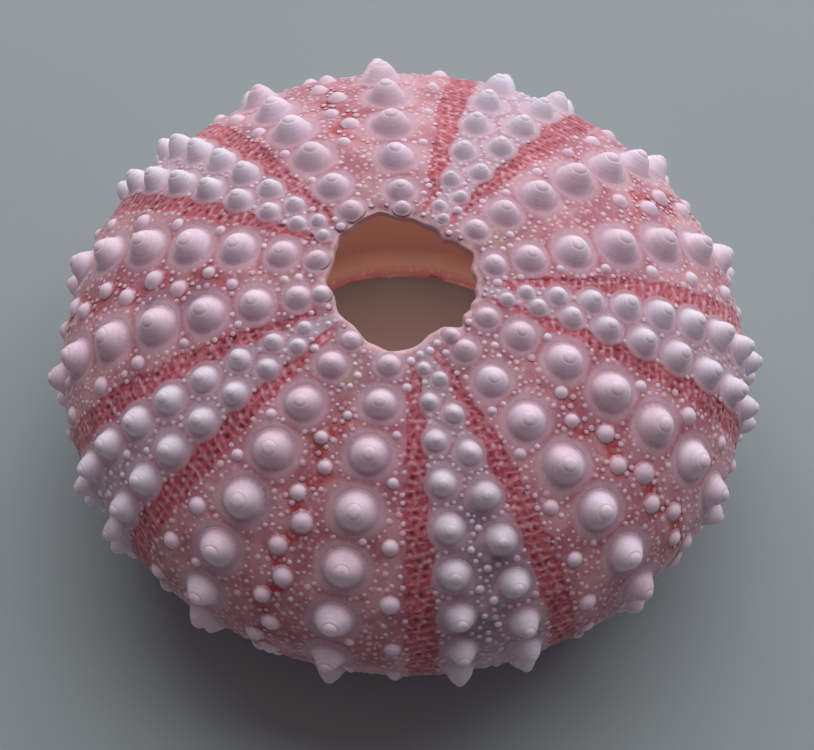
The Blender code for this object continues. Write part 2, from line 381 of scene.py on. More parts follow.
# Noise as its scale, detail and roughness, and the ranges of a value over which a coat sets in
PATCH_NOISE = (260, 3, 0.5)
FINE_NOISE = (900, 3, 0.6)
GRAIN_NOISE = (2600, 2, 0.5)
FLOOR_NOISE = (25, 3, 0.5)
SPECK_SCALE = 1300
SPECK_FADE = (0.14, 0.36)
MOTTLE = (0.35, 0.65)
GREEN_BREAKS = (0.3, 0.6)
MEDIAN_BREAKS = (0.2, 0.5)
MEDIAN_SHARPNESS = (0.05, 0.95)
MEDIAN_MOTTLE = (0.4, 0.7)
BAND_MOTTLE = (0.38, 0.6)
BAND_RAGGEDNESS = 0.5
BAND_SHARPNESS = (0.1, 0.75)
GROWTH_PACE = 50
GROWTH_FADE = (0.2, 1.0)
GROWTH_BREAKS = (0.35, 0.6)
DUSK_FADE = (0.45, 0.8)
GLINT_FADE = (0.5, 0.75)
GREY_STAIN_AND_SHADE_BREAKS = (0.2, 0.6)

# The finish of the chalk
ROUGHNESS = 0.54
ROUGHNESS_SWING = 0.2
BUMP_SHARES = (0.6, 0.4, 0.12)
BUMP_STRENGTH = 0.35
BUMP_HEIGHT = 0.06 * MM
SPECULAR = 0.3
SHEEN = 0.3
SHEEN_ROUGHNESS = 0.5

# Places of the colour sockets of a Mix node
MIX_SHARE = 0
MIX_FIRST = 6
MIX_SECOND = 7
MIX_RESULT = 2

# The stage
FLOOR_SIZE = 3.0
FLOOR_DARKENING = 0.93
FLOOR_ROUGHNESS = 0.8
SKY_PLACE = (0.06, 0.45, 0.35)
SKY_SIZE = 0.95
SKY_POWER = 6.2
SKY_COLOUR = (1.0, 0.985, 0.975)
GLOW_POWER = 0.0046
GLOW_COLOUR = (1.0, 0.56, 0.43)
GLOW_RADIUS = 9 * MM
GLOW_HEIGHT = 13 * MM
AIR_STRENGTH = 0.185
CAMERA_PLACE = (7.50, -69.48, 150.14)
CAMERA_TILT = 24.44
CAMERA_TURN = 5.96
LENS = 80.14
SENSOR = 36.0
CLIPPING = (0.01, 10.0)


def smooth(low, high, value):
    """0 below low, 1 above high and an even rise between."""
    share = np.clip((value - low) / (high - low), 0.0, 1.0)
    return share * share * (3 - 2 * share)


def hump(value, width, middle=0.0):
    """1 where a value is at the middle, and little beyond the width on either side."""
    return np.exp(-((value - middle) / width) ** 2)


def at_arc(table, arc):
    """A length at an arc, from a table of arcs and lengths in millimetres."""
    arcs, lengths = np.array(table, float).T * MM
    return np.interp(arc, arcs, lengths)


def turn_from(middle, angle):
    """The turn from a middle to an angle, between -180 and 180 degrees."""
    return (angle - middle + 180) % 360 - 180


def trace_meridian(steps=400):
    """Arc, radius and height along the wall from the apex to the mouth."""
    turn = np.linspace(0, math.pi / 2, steps + 1)
    power = 2 / FULLNESS
    upper = np.stack([HALF_LENGTH * np.sin(turn) ** power, UPPER_HEIGHT * np.abs(np.cos(turn)) ** power], 1)
    share = np.linspace(0, 1, steps + 1)[1:, None]
    weights = ((1 - share) ** 3, 3 * share * (1 - share) ** 2, 3 * share ** 2 * (1 - share), share ** 3)
    lower = sum(weight * np.array(point) * MM for weight, point in zip(weights, LOWER_CURVE))
    radius, height = np.concatenate([upper, lower]).T
    widths = np.diff(radius) * (1 + NARROWING) / 2
    arc = np.concatenate([[0.0], np.cumsum(np.hypot(widths, np.diff(height)))])
    return arc, radius, height


ARC, RADIUS, HEIGHT = trace_meridian()
MOUTH_ARC = float(ARC[-1])
UPPER_POINTS = len(ARC) // 2


def wall_points(angle, arc):
    """Places on the smooth outside of the wall."""
    turn = np.radians(angle)
    radius = np.interp(arc, ARC, RADIUS)
    height = np.interp(arc, ARC, HEIGHT)
    across = np.stack([radius * np.cos(turn), radius * NARROWING * np.sin(turn), height], -1)
    return across + CENTRE


def degree_ways(angle, arc):
    """The way that a degree goes round the wall."""
    return wall_points(angle + HALF_DEGREE, arc) - wall_points(angle - HALF_DEGREE, arc)


def degree_lengths(angle, arc):
    """How far a degree reaches along the wall."""
    return np.linalg.norm(degree_ways(angle, arc), axis=-1)


def wall_normals(angle, arc):
    """The outward directions at places on the wall."""
    along = wall_points(angle, arc + NORMAL_REACH) - wall_points(angle, arc - NORMAL_REACH)
    normal = np.cross(along, degree_ways(angle, arc))
    return normal / np.linalg.norm(normal, axis=-1, keepdims=True)


def hole_arcs(angle):
    """The arc of the edge of the hole at angles."""
    edge = np.array(HOLE_EDGE, float)
    turn = np.radians(edge[:, 0])
    x, y = edge[:, 1] * MM * np.cos(turn), edge[:, 1] * MM * np.sin(turn) / NARROWING
    own = np.degrees(np.arctan2(y, x)) % 360
    order = np.argsort(own)
    arcs = np.interp(np.hypot(x, y), RADIUS[:UPPER_POINTS], ARC[:UPPER_POINTS])
    degrees = np.arange(360)
    window = hump(np.arange(-EDGE_SPAN, EDGE_SPAN + 1), EDGE_SOFTNESS)
    even = np.tile(np.interp(degrees, own[order], arcs[order], period=360), 3)
    rounded = np.convolve(even, window / window.sum(), "same")[360:720]
    return np.interp(angle, degrees, rounded, period=360)


def next_step(arc, law):
    """Distance from one boss of a column to the next."""
    most, start, reach = law
    crowd_start, crowd_reach, crowd_share, crowd_power = CROWDING
    crowd = min(max((arc - crowd_start) / crowd_reach, 0.0), 1.0) ** crowd_power
    return most * (1 - math.exp(-(arc - start) / reach)) * (1 - crowd_share * crowd)


def column_arcs(first, pace, law, parts=4):
    """The arcs of the bosses of one column, from the hole to the mouth."""
    arcs = []
    arc = first
    while arc < LAST_ARC:
        arcs.append(arc)
        for _ in range(parts):
            arc += next_step(arc, law) * pace / parts
    return np.array(arcs)


def wide_half_turn(arc):
    """Angle between a wide area's middle and its columns."""
    most, fall, reach = WIDE_SPREAD
    return most - fall * (1 - np.exp(-arc / reach))


def narrow_half_turn(arc):
    """Angle between a narrow area's middle and its columns."""
    most, reach = NARROW_SPREAD
    return most * (1 - np.exp(-arc / reach))


def band_edges(arc):
    """Angles of the inner and outer edge of a pore band from the middle of the narrow area."""
    arcs, inner, outer = np.array(BAND_EDGES, float).T
    return np.interp(arc, arcs * MM, inner), np.interp(arc, arcs * MM, outer)


def narrow_offset(angle):
    """How many degrees places are from the nearest narrow middle, in shares of that area's width."""
    middles, widths = np.array([area[:2] for area in NARROW_AREAS]).T
    offset = np.abs(turn_from(middles, np.asarray(angle)[..., None]))
    which = np.argmin(offset, -1)
    own = np.take_along_axis(offset, which[..., None], -1)[..., 0]
    return own / widths[which]


def narrow_share(angle, arc):
    """1 between the two bands of a narrow area and 0 outside."""
    inner, _ = band_edges(arc)
    return 1 - smooth(inner - 1, inner + 1, narrow_offset(angle))


def band_share(angle, arc, soft=0.5):
    """1 inside a pore band and 0 outside."""
    offset = narrow_offset(angle)
    inner, outer = band_edges(arc)
    return smooth(inner - soft, inner + soft, offset) * (1 - smooth(outer - soft, outer + soft, offset))


def crown_share(arc):
    """1 near the hole and 0 further down."""
    return 1 - smooth(*CROWN_ARCS, arc)


class Layout:
    """Where everything on the wall is."""

    def __init__(self):
        self.columns = []
        self.bosses = self.make_bosses()
        self.boss_points = wall_points(self.bosses[:, 0], self.bosses[:, 1])
        self.pairs = self.make_pairs()
        self.small = self.make_small()
        self.small_points = wall_points(self.small[:, 0], self.small[:, 1])
        self.grains = self.make_grains()

    def make_bosses(self):
        """The large tubercles: angle, arc, radius, and 1 for one of a narrow area."""
        rows = []
        for narrow, areas, law, half_turn, radii in (
            (False, WIDE_AREAS, WIDE_STEP, wide_half_turn, WIDE_RADII),
            (True, NARROW_AREAS, NARROW_STEP, narrow_half_turn, NARROW_RADII),
        ):
            for area, (middle, width, firsts, paces) in enumerate(areas):
                for side, first, pace in zip((-1, 1), firsts, paces):
                    arcs = column_arcs(first * MM, pace, law)
                    self.columns.append((narrow, area, side, arcs))
                    for arc in arcs:
                        turn = middle + side * width * half_turn(arc)
                        rows.append((turn, arc, at_arc(radii, arc), float(narrow)))
        bosses = np.array(rows)
        clearance, gap = HOLE_CLEARANCE
        first_arcs = hole_arcs(bosses[:, 0]) + clearance * bosses[:, 2] + gap
        shrinking, push = PUSHED_SHRINKING
        bosses[:, 2] *= 1 - shrinking * smooth(0.0, push, first_arcs - bosses[:, 1])
        bosses[:, 1] = np.maximum(bosses[:, 1], first_arcs)
        slimming, start, end = WIDE_SLIMMING
        bosses[:, 2] *= 1 - slimming * (1 - bosses[:, 3]) * smooth(start, end, bosses[:, 1])
        return bosses

    def make_pairs(self):
        """The middles of the pore pairs: area, side, angle and arc."""
        before, beyond = PAIRS_BEYOND
        first_place, swing = PAIR_SWING
        rows = []
        for narrow, area, side, arcs in self.columns:
            if not narrow:
                continue
            middle, width = NARROW_AREAS[area][:2]
            ends = np.concatenate([[arcs[0] - before], (arcs[1:] + arcs[:-1]) / 2, [arcs[-1] + beyond]])
            for start, end in zip(ends[:-1], ends[1:]):
                count = max(2, int(round((end - start) / PAIR_STEP)))
                for share in (np.arange(count) + 0.5) / count:
                    arc = start + (end - start) * share
                    inner, outer = band_edges(arc)
                    place = inner + (outer - inner) * (first_place + swing * share)
                    rows.append((area, side, middle + side * width * place, arc))
        return np.array(rows)

    def make_small(self):
        """The smaller tubercles that stand clear: angle, arc and radius."""
        draw = np.random.default_rng(SMALL_PLACE_SEED)
        places = np.array(
            self.median_places(draw) + self.side_places(draw) + self.narrow_places(draw)
            + self.crown_places(draw)
        )
        return places[self.free(places)]

    def median_places(self, draw):
        """The zigzag down the middle of each wide area."""
        crowding, start, end = MEDIAN_CROWDING
        rows = []
        for (middle, _, _, _), first in zip(WIDE_AREAS, MEDIAN_STARTS):
            arc, side = first * MM, 1
            while arc < LAST_ARC:
                reach = MEDIAN_ZIGZAG / degree_lengths(middle, arc)
                radius = at_arc(MEDIAN_RADII, arc) * draw.uniform(*SIZE_SPREAD)
                rows.append((middle + side * reach, arc, radius))
                side = -side
                arc += draw.uniform(*MEDIAN_STEP) * (1 - crowding * smooth(start, end, arc))
        return rows

    def side_places(self, draw):
        """Between every two bosses of a wide column, one at the pore band and one by the column."""
        rows = []
        for narrow, area, side, arcs in self.columns:
            if narrow:
                continue
            middle, width = WIDE_AREAS[area][:2]
            gaps = (arcs[1:] + arcs[:-1]) / 2
            for arc in gaps[gaps >= SIDE_START]:
                edge = self.band_turn(middle, side, arc)
                column = middle + side * width * wide_half_turn(arc)
                radius = at_arc(SIDE_RADII, arc)
                turn = edge - side * (radius + SIDE_GAP) / degree_lengths(edge, arc)
                shift = draw.uniform(-SIDE_SHIFT, SIDE_SHIFT)
                rows.append((turn, arc + shift, radius * draw.uniform(*SIZE_SPREAD)))
                turn = column + (edge - column) * INNER_PLACE
                shift = draw.uniform(-INNER_SHIFT, INNER_SHIFT)
                rows.append((turn, arc + shift, radius * draw.uniform(*INNER_SIZES)))
        return rows

    def narrow_places(self, draw):
        """The zigzag down the middle of each narrow area."""
        start, end = NARROW_REACH
        rows = []
        for middle, _, _, _ in NARROW_AREAS:
            arc, side = start, 1
            while arc < end:
                reach = NARROW_ZIGZAG / degree_lengths(middle, arc)
                rows.append((middle + side * reach, arc, draw.uniform(*NARROW_SIZES)))
                arc += draw.uniform(*NARROW_PACE)
                side = -side
        return rows

    def crown_places(self, draw):
        """Those strewn round the hole."""
        rows = []
        for turn in draw.uniform(0, 360, CROWN_TRIES):
            arc = hole_arcs(turn) + draw.uniform(*CROWN_DISTANCES)
            rows.append((turn, arc, draw.uniform(*CROWN_SIZES)))
        return rows

    def band_turn(self, middle, side, arc):
        """The angle of the outer edge of the pore band next to a wide area's middle."""
        beside = middle + side * AREA_TURN
        near = min(NARROW_AREAS, key=lambda area: abs(turn_from(beside, area[0])))
        own = middle + turn_from(middle, near[0])
        return own - side * near[1] * band_edges(arc)[1]

    def free(self, places):
        """Which places stand clear of the bosses and of those before them."""
        points = wall_points(places[:, 0], places[:, 1])
        kept = np.ones(len(places), bool)
        for index, (point, radius) in enumerate(zip(points, places[:, 2])):
            away = np.linalg.norm(self.boss_points - point, axis=1)
            clear = np.all(away >= self.bosses[:, 2] * SMALL_CLEARANCE + radius + SMALL_GAP)
            before = np.flatnonzero(kept[:index])
            away = np.linalg.norm(points[before] - point, axis=1)
            kept[index] = clear and np.all(away >= places[before, 2] + radius + SMALL_GAP)
        return kept

    def make_grains(self):
        """The granules that have room: angle, arc and radius."""
        draw = np.random.default_rng(GRAIN_PLACE_SEED)
        around = np.array(self.ring_grains(draw) + self.line_grains(draw))
        length = degree_lengths(around[:, 0], around[:, 1])
        near = np.stack([around[:, 0] + around[:, 2] / length, around[:, 1] + around[:, 3]], 1)
        turns = draw.uniform(0, 360, LOOSE_TRIES)
        arcs = draw.uniform(*LOOSE_ARCS, LOOSE_TRIES)
        thinned = draw.uniform(0, 1, LOOSE_TRIES) < np.interp(arcs, ARC, RADIUS) / HALF_LENGTH
        places = np.concatenate([near, np.stack([turns, arcs], 1)[thinned]])
        sizes = draw.uniform(*GRAIN_SIZES, len(places))
        extra, others = LARGER_GRAINS
        sizes *= 1 + extra * (draw.uniform(0, 1, len(places)) > others)
        top, bottom = GRAIN_ENDS
        good = band_share(places[:, 0], places[:, 1]) < GRAIN_BAND_LIMIT
        good &= places[:, 1] > hole_arcs(places[:, 0]) + top
        good &= places[:, 1] < MOUTH_ARC - bottom
        return self.clear_grains(np.concatenate([places, sizes[:, None]], 1)[good])

    def ring_grains(self, draw):
        """Rings round the bosses: angle and arc of the boss, and the way from it in metres."""
        rows = []
        for turn, arc, radius, narrow in self.bosses:
            ring = radius * RING_SHARES[int(narrow)] + RING_GAP
            count = int(2 * math.pi * ring / RING_STEP)
            start = draw.uniform(0, 2 * math.pi)
            for index in range(count):
                uneven = draw.uniform(-RING_UNEVENNESS, RING_UNEVENNESS)
                way = start + 2 * math.pi * (index + uneven) / count
                rows.append((turn, arc, ring * math.cos(way), ring * math.sin(way)))
        return rows

    def line_grains(self, draw):
        """Lines along the edges of the bands: angle and arc, and the way from there in metres."""
        rows = []
        for area, side, _, arc in self.pairs:
            middle, width = NARROW_AREAS[int(area)][:2]
            for edge, out in zip(band_edges(arc), LINE_OUTSETS):
                if draw.uniform() < LINE_CHANCE:
                    across = side * (out + draw.uniform(-LINE_SHIFT, LINE_SHIFT))
                    along = draw.uniform(-LINE_SHIFT, LINE_SHIFT)
                    rows.append((middle + side * width * edge, arc, across, along))
        return rows

    def clear_grains(self, places):
        """Keep the granules that have room."""
        points = wall_points(places[:, 0], places[:, 1])
        large = np.concatenate([self.boss_points, self.small_points])
        wide_share, other_share = GRAIN_CLEARANCES
        shares = np.where(self.bosses[:, 3] > 0, other_share, wide_share)
        reach = np.concatenate([self.bosses[:, 2] * shares, self.small[:, 2] * other_share])
        large_gap, own_gap = GRAIN_GAPS
        kept_points = np.empty((len(places), 3))
        kept_sizes = np.empty(len(places))
        kept = []
        for index, (point, size) in enumerate(zip(points, places[:, 2])):
            if np.any(np.linalg.norm(large - point, axis=1) < reach + size + large_gap):
                continue
            count = len(kept)
            away = np.linalg.norm(kept_points[:count] - point, axis=1)
            if np.any(away < kept_sizes[:count] + size + own_gap):
                continue
            kept_points[count] = point
            kept_sizes[count] = size
            kept.append(index)
        return places[kept]


def waves(points, seed, length, count=7):
    """A soft, uneven field between about -1 and 1."""
    draw = np.random.default_rng(seed)
    total = np.zeros(len(points))
    for _ in range(count):
        way = draw.normal(size=3)
        way *= 2 * math.pi / (np.linalg.norm(way) * length * draw.uniform(*WAVE_LENGTHS))
        total += np.sin(points @ way + draw.uniform(0, 2 * math.pi))
    return total / math.sqrt(count)


def swell(points, parts):
    """A soft, uneven length from waves of a height, seed and length each."""
    return sum(height * waves(points, seed, length) for height, seed, length in parts)


def patches(points, middle, swing, seed, length):
    """Soft patches of a share round its middle."""
    return middle + swing * np.clip(waves(points, seed, length), -1, 1)


def nearest(points, centres, radii, chunk=4000):
    """For points, the least distance to the centres in their radii, the next least, and the centre."""
    first = np.empty(len(points))
    second = np.empty(len(points))
    which = np.empty(len(points), int)
    for start in range(0, len(points), chunk):
        part = slice(start, start + chunk)
        away = np.sqrt(((points[part, None] - centres[None]) ** 2).sum(-1)) / radii
        order = np.argpartition(away, 1, axis=1)[:, :2]
        values = np.take_along_axis(away, order, 1)
        swap = values[:, 0] > values[:, 1]
        values[swap] = values[swap][:, ::-1]
        order[swap] = order[swap][:, ::-1]
        first[part], second[part], which[part] = values[:, 0], values[:, 1], order[:, 0]
    return first, second, which


def band_depth(points, angle, arc):
    """How far places are inside a pore band in metres, and the same to its ragged edge."""
    offset = narrow_offset(angle)
    inner, outer = band_edges(arc)
    depth = np.minimum(offset - inner, outer - offset) * degree_lengths(angle, arc)
    return depth, depth + swell(points, BAND_EDGE_WAVES)


def band_cover(depth, inward, first, narrow_boss):
    """1 in the red of a band, and 0 outside it, by the hole and on the smooth ground of a boss."""
    clear = np.where(narrow_boss > 0, smooth(*CLEAR_OF_NARROW, first), smooth(*CLEAR_OF_WIDE, first))
    return smooth(*BAND_FADE, depth) * clear * smooth(*BAND_ONSET, inward)


def median_line(plan, area, arc):
    """Angle of the zigzag median line from a wide area's middle."""
    knots = []
    for narrow, own, side, arcs in plan.columns:
        if not narrow and own == area:
            knots += [(value, -side) for value in arcs]
    knot_arcs, sides = np.array(sorted(knots)).T
    reach = MEDIAN_SWING / degree_lengths(WIDE_AREAS[area][0], knot_arcs)
    return np.interp(arc, knot_arcs, sides * reach)


def median_share(plan, angle, arc):
    """1 along the zigzag seams of the wide areas and 0 away from them."""
    share = np.zeros(len(angle))
    for area, (middle, _, _, _) in enumerate(WIDE_AREAS):
        own = turn_from(middle, angle)
        near = np.abs(own) < MEDIAN_REACH
        away = (own[near] - median_line(plan, area, arc[near])) * degree_lengths(middle, arc[near])
        start = MEDIAN_STARTS[area] * MM
        onset = smooth(start - MEDIAN_ONSET, start + MEDIAN_ONSET, arc[near])
        share[near] = hump(away, MEDIAN_WIDTH) * onset
    return share


def stain_share(points, marks):
    """1 at the given marks and 0 away from them."""
    angle, arc, reach = np.array(marks, float).T
    centres = wall_points(angle, arc * MM)
    away = np.linalg.norm(points[:, None] - centres[None], axis=2) / (reach * MM)
    return hump(away.min(1), MARK_SOFTNESS)


def relief(plan, angle, arc):
    """Height of the outside above the smooth wall, and the masks that colour it."""
    points = wall_points(angle, arc)
    inward = arc - hole_arcs(angle)
    inside, ragged = band_depth(points, angle, arc)
    first, second, which = nearest(points, plan.boss_points, plan.bosses[:, 2])
    small, _, _ = nearest(points, plan.small_points, plan.small[:, 2])
    narrow_boss = plan.bosses[which, 3]
    # Red suture between two bosses, widened as painted shade; it also sinks the wall a little
    seam_and_shade = hump(second - first, SEAM_WIDTH) * smooth(*SEAM_START, first) * (1 - smooth(*SEAM_END, first))
    median = median_share(plan, angle, arc)
    height = swell(points, WALL_WAVES) + RING_RISE * hump(first, *RAISED_RING)
    height -= FOOT_SINK * (1 - smooth(*UNDER_FOOT, first))
    height -= SEAM_DEPTH * seam_and_shade + MEDIAN_DEPTH * median
    height -= BED_DEPTH * smooth(*BED_EDGE, inside) * smooth(*BED_ONSET, inward)
    masks = {
        "green": stain_share(points, GREEN_MARKS),
        # Grey stains, and painted shade on the lower front
        "grey_stain_and_shade": stain_share(points, GREY_STAIN_AND_SHADE_MARKS),
        "band": band_cover(ragged, inward, first, narrow_boss),
        "areole": 1 - smooth(*AREOLE, first),
        # Red suture and painted shade between the bosses
        "seam_and_shade": seam_and_shade,
        "median": median,
        "narrow": narrow_share(angle, arc),
        "ringed": hump(small, *SMALL_RING),
        "crown": crown_share(arc),
        "white": 1 - smooth(*WHITE_EDGE, first),
        "bleed": band_share(angle, arc, BLEED_SOFTNESS) * smooth(*BLEED_ONSET, inward),
        # Rose ring at the foot of a boss, partly pigment and partly painted shade
        "foot_tint_and_shade": hump(first, *FOOT_TINT_AND_SHADE_LINE) * (1 - NARROW_FOOT_TINT_AND_SHADE_CUT * narrow_boss),
        "rim": 1 - smooth(*RIM_BREADTH, inward + swell(points, RIM_WAVES)),
    }
    return height, masks


def follow_hole(arc, edge):
    """Arcs of mesh rows that start along the edge of the hole and get even further down."""
    fade = (1 - np.clip((arc - TOP_ARC) / TOP_FADE, 0, 1)) ** 2
    return arc + (edge - TOP_ARC) * fade


def new_mesh_object(name, points, corners, sizes):
    """An object from points, the corners of all its faces in a row, and how many each face has."""
    mesh = bpy.data.meshes.new(name)
    mesh.vertices.add(len(points))
    mesh.vertices.foreach_set("co", points.astype(np.float32).ravel())
    mesh.loops.add(len(corners))
    mesh.loops.foreach_set("vertex_index", corners.astype(np.int32))
    mesh.polygons.add(len(sizes))
    starts = np.concatenate([[0], np.cumsum(sizes)[:-1]])
    mesh.polygons.foreach_set("loop_start", starts.astype(np.int32))
    mesh.update(calc_edges=True)
    mesh.validate()
    piece = bpy.data.objects.new(name, mesh)
    bpy.context.scene.collection.objects.link(piece)
    return piece


def paint(piece, masks):
    """Store values per point on a mesh."""
    for name, values in masks.items():
        attribute = piece.data.attributes.new(name, "FLOAT", "POINT")
        attribute.data.foreach_set("value", np.asarray(values, np.float32).ravel())


def paint_copies(piece, shape, masks):
    """Store values on a mesh of copies, each value per point or the same all over a copy."""
    paint(piece, {name: np.broadcast_to(values, shape) for name, values in masks.items()})


def finish_piece(piece):
    """Smooth a piece, give it its material and let it ride on the shell."""
    bpy.ops.object.select_all(action="DESELECT")
    piece.select_set(True)
    bpy.context.view_layer.objects.active = piece
    bpy.ops.object.shade_smooth()
    piece.data.materials.clear()
    piece.data.materials.append(shell_material())
    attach(piece, BODY)


def turned_unit(form, sides):
    """A round knob modelled from a disc: each ring of its form is extruded from the one below."""
    radius, height = form[0]
    bpy.ops.object.select_all(action="DESELECT")
    bpy.ops.mesh.primitive_circle_add(
        vertices=sides, radius=radius, fill_type="NGON", location=(0, 0, height),
    )
    unit = bpy.context.object
    bpy.ops.object.transform_apply(location=True, rotation=True, scale=True)
    bpy.ops.object.mode_set(mode="EDIT")
    bpy.ops.mesh.select_mode(type="FACE")
    bpy.ops.mesh.select_all(action="SELECT")
    for (radius, height), (wider, lower) in zip(form[1:], form[:-1]):
        bpy.ops.mesh.extrude_region_move(TRANSFORM_OT_translate={"value": (0, 0, height - lower)})
        bpy.ops.transform.resize(value=(radius / wider, radius / wider, 1), center_override=(0, 0, height))
    bpy.ops.mesh.poke()
    bpy.ops.mesh.select_all(action="SELECT")
    bpy.ops.mesh.normals_make_consistent(inside=False)
    bpy.ops.object.mode_set(mode="OBJECT")
    mesh = unit.data
    points = np.array([vertex.co for vertex in mesh.vertices])
    faces = [list(face.vertices) for face in mesh.polygons]
    bpy.data.objects.remove(unit)
    bpy.data.meshes.remove(mesh)
    return points, faces


def stamp(name, own, faces, places, stretch, spins):
    """Copies on the wall, joined in one object, from the unit points of each copy."""
    count, per = own.shape[:2]
    radii = places[:, 2:3]
    cos, sin = np.cos(spins)[:, None], np.sin(spins)[:, None]
    sideways = (own[..., 0] * cos - own[..., 1] * sin) * radii
    upwards = (own[..., 0] * sin + own[..., 1] * cos) * radii
    turns = places[:, 0:1] + sideways / degree_lengths(places[:, 0:1], places[:, 1:2])
    arcs = np.clip(places[:, 1:2] - upwards, hole_arcs(turns) + HOLE_MARGIN, MOUTH_ARC)
    at = wall_points(turns, arcs)
    uneven = swell(at.reshape(-1, 3), WALL_WAVES).reshape(turns.shape)
    out = own[..., 2] * (places[:, 2] * stretch)[:, None] + uneven
    normal = wall_normals(places[:, 0], places[:, 1])
    placed = at + normal[:, None] * out[..., None]
    placed[..., 2] = np.maximum(placed[..., 2], 0.0)
    corners = np.concatenate([np.array(face) for face in faces])
    sizes = np.array([len(face) for face in faces])
    shift = np.arange(count)[:, None] * per
    return new_mesh_object(
        name, placed.reshape(-1, 3), (corners[None] + shift).ravel(), np.tile(sizes, count),
    )


class Value:
    """A socket in an expression: arithmetic on it adds Math nodes."""

    def __init__(self, graph, socket):
        self.graph = graph
        self.socket = socket

    def math(self, operation, *others):
        """A Math node on this value and the others."""
        return self.graph.math(operation, self, *others)

    def __add__(self, other):
        return self.math("ADD", other)

    __radd__ = __add__

    def __sub__(self, other):
        return self.math("SUBTRACT", other)

    def __rsub__(self, other):
        return self.graph.math("SUBTRACT", other, self)

    def __mul__(self, other):
        return self.math("MULTIPLY", other)

    __rmul__ = __mul__

    def step(self, low, high):
        """0 below low, 1 above high and an even rise between."""
        settings = {"interpolation_type": "SMOOTHSTEP"}
        inputs = {"Value": self, "From Min": low, "From Max": high}
        return self.graph.node("ShaderNodeMapRange", settings, inputs)


class Graph:
    """Adds nodes to one material."""

    def __init__(self, name):
        self.material = bpy.data.materials.new(name)
        self.material.use_nodes = True
        self.tree = self.material.node_tree
        self.shader = self.tree.nodes["Principled BSDF"]

    def node(self, kind, settings, inputs, output=0):
        """A node of a kind, with its settings made first and then its sockets set or linked."""
        made = self.tree.nodes.new(kind)
        for name, value in settings.items():
            setattr(made, name, value)
        for name, value in inputs.items():
            self.put(made.inputs[name], value)
        return Value(self, made.outputs[output])

    def put(self, socket, value):
        """Set or link one socket."""
        if isinstance(value, Value):
            self.tree.links.new(value.socket, socket)
        else:
            socket.default_value = value

    def finish(self, inputs):
        """Set or link sockets of the shader, and give the material."""
        for name, value in inputs.items():
            self.put(self.shader.inputs[name], value)
        return self.material

    def math(self, operation, *values):
        """A Math node."""
        return self.node("ShaderNodeMath", {"operation": operation}, dict(enumerate(values)))

    def mask(self, name):
        """A value stored on the mesh."""
        return self.node("ShaderNodeAttribute", {"attribute_name": name}, {}, "Fac")

    def place(self):
        """A place on the piece itself."""
        return self.node("ShaderNodeTexCoord", {}, {}, "Object")

    def noise(self, scale, detail, roughness):
        """Noise that is fixed to the piece."""
        inputs = {"Vector": self.place(), "Scale": scale, "Detail": detail, "Roughness": roughness}
        return self.node("ShaderNodeTexNoise", {}, inputs, "Fac")

    def specks(self):
        """Scattered soft dots of uneven sizes, fixed to the piece."""
        inputs = {"Vector": self.place(), "Scale": SPECK_SCALE}
        away = self.node("ShaderNodeTexVoronoi", {"feature": "F1"}, inputs, "Distance")
        return 1 - away.step(*SPECK_FADE)

    def mix(self, share, first, second):
        """A mix of two colours."""
        settings = {"data_type": "RGBA", "blend_type": "MIX", "clamp_factor": True}
        inputs = {MIX_SHARE: share, MIX_FIRST: first, MIX_SECOND: second}
        return self.node("ShaderNodeMix", settings, inputs, MIX_RESULT)

    def coat(self, ground, cover, strength, colour):
        """A coat of colour over the ground."""
        return self.mix(cover * strength, ground, shade(*colour))


def shade(red, green, blue):
    """A colour from screen values of 0 to 255."""
    def linear(value):
        value /= 255
        return value / 12.92 if value <= 0.04045 else ((value + 0.055) / 1.055) ** 2.4
    return linear(red), linear(green), linear(blue), 1.0


def shell_ground(graph, patch, fine):
    """The colour of the ground between the bosses, with the red seams and bands."""
    ground = graph.mix(patch.step(*MOTTLE), shade(*ROSE), shade(*PINK))
    for name, strength, colour in FIRST_COATS:
        ground = graph.coat(ground, graph.mask(name), strength, colour)
    ground = graph.coat(ground, graph.mask("green") * patch.step(*GREEN_BREAKS), *GREEN_COAT)
    for name, strength, colour in LATER_COATS:
        ground = graph.coat(ground, graph.mask(name), strength, colour)
    red = graph.mix(fine.step(*MEDIAN_MOTTLE), *(shade(*colour) for colour in MEDIAN_REDS))
    median = (graph.mask("median") * patch.step(*MEDIAN_BREAKS)).step(*MEDIAN_SHARPNESS)
    ground = graph.mix(median * MEDIAN_STRENGTH, ground, red)
    band = graph.mix(((patch + fine) * 0.5).step(*BAND_MOTTLE), *(shade(*colour) for colour in BAND_REDS))
    band = graph.coat(band, graph.mask("tone"), *TONE_COAT)
    band = graph.coat(band, graph.mask("ridge"), *RIDGE_COAT)
    ragged = (graph.mask("band") + (fine - 0.5) * BAND_RAGGEDNESS).step(*BAND_SHARPNESS)
    return graph.mix(ragged * BAND_STRENGTH, ground, band)


